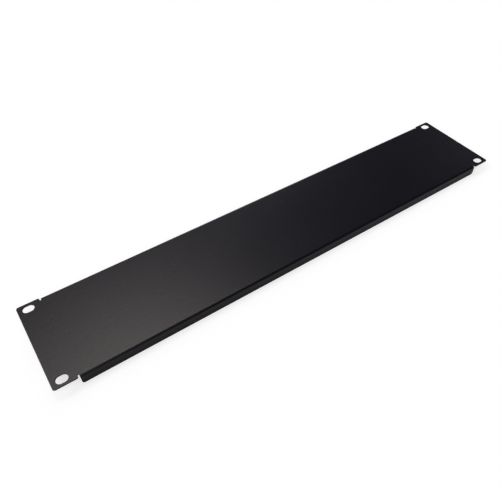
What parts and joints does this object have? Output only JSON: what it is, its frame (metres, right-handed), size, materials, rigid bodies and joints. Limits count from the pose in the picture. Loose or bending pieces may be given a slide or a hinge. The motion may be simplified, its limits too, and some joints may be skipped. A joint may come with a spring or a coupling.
{
  "type": "rack blanking panel",
  "caption": "Two-unit blanking panel for a 19 inch rack: a folded steel sheet with flanges along both long edges and a mounting slot in each corner.",
  "frame": {"origin": "middle of the panel's footprint, on the surface that the flanges' free edges stand on", "axes": "+X along the panel's width, towards the right ear; +Y along its height, towards the upper edge; +Z out of the front face, towards the person in front of the rack"},
  "size_m": [0.4826, 0.0882, 0.01],
  "materials": {
    "coated_sheet": "black powder coat, satin with a fine grain"
  },
  "bodies": {
    "root": {"blanking_panel": "coated_sheet"}
  },
  "joints": []
}
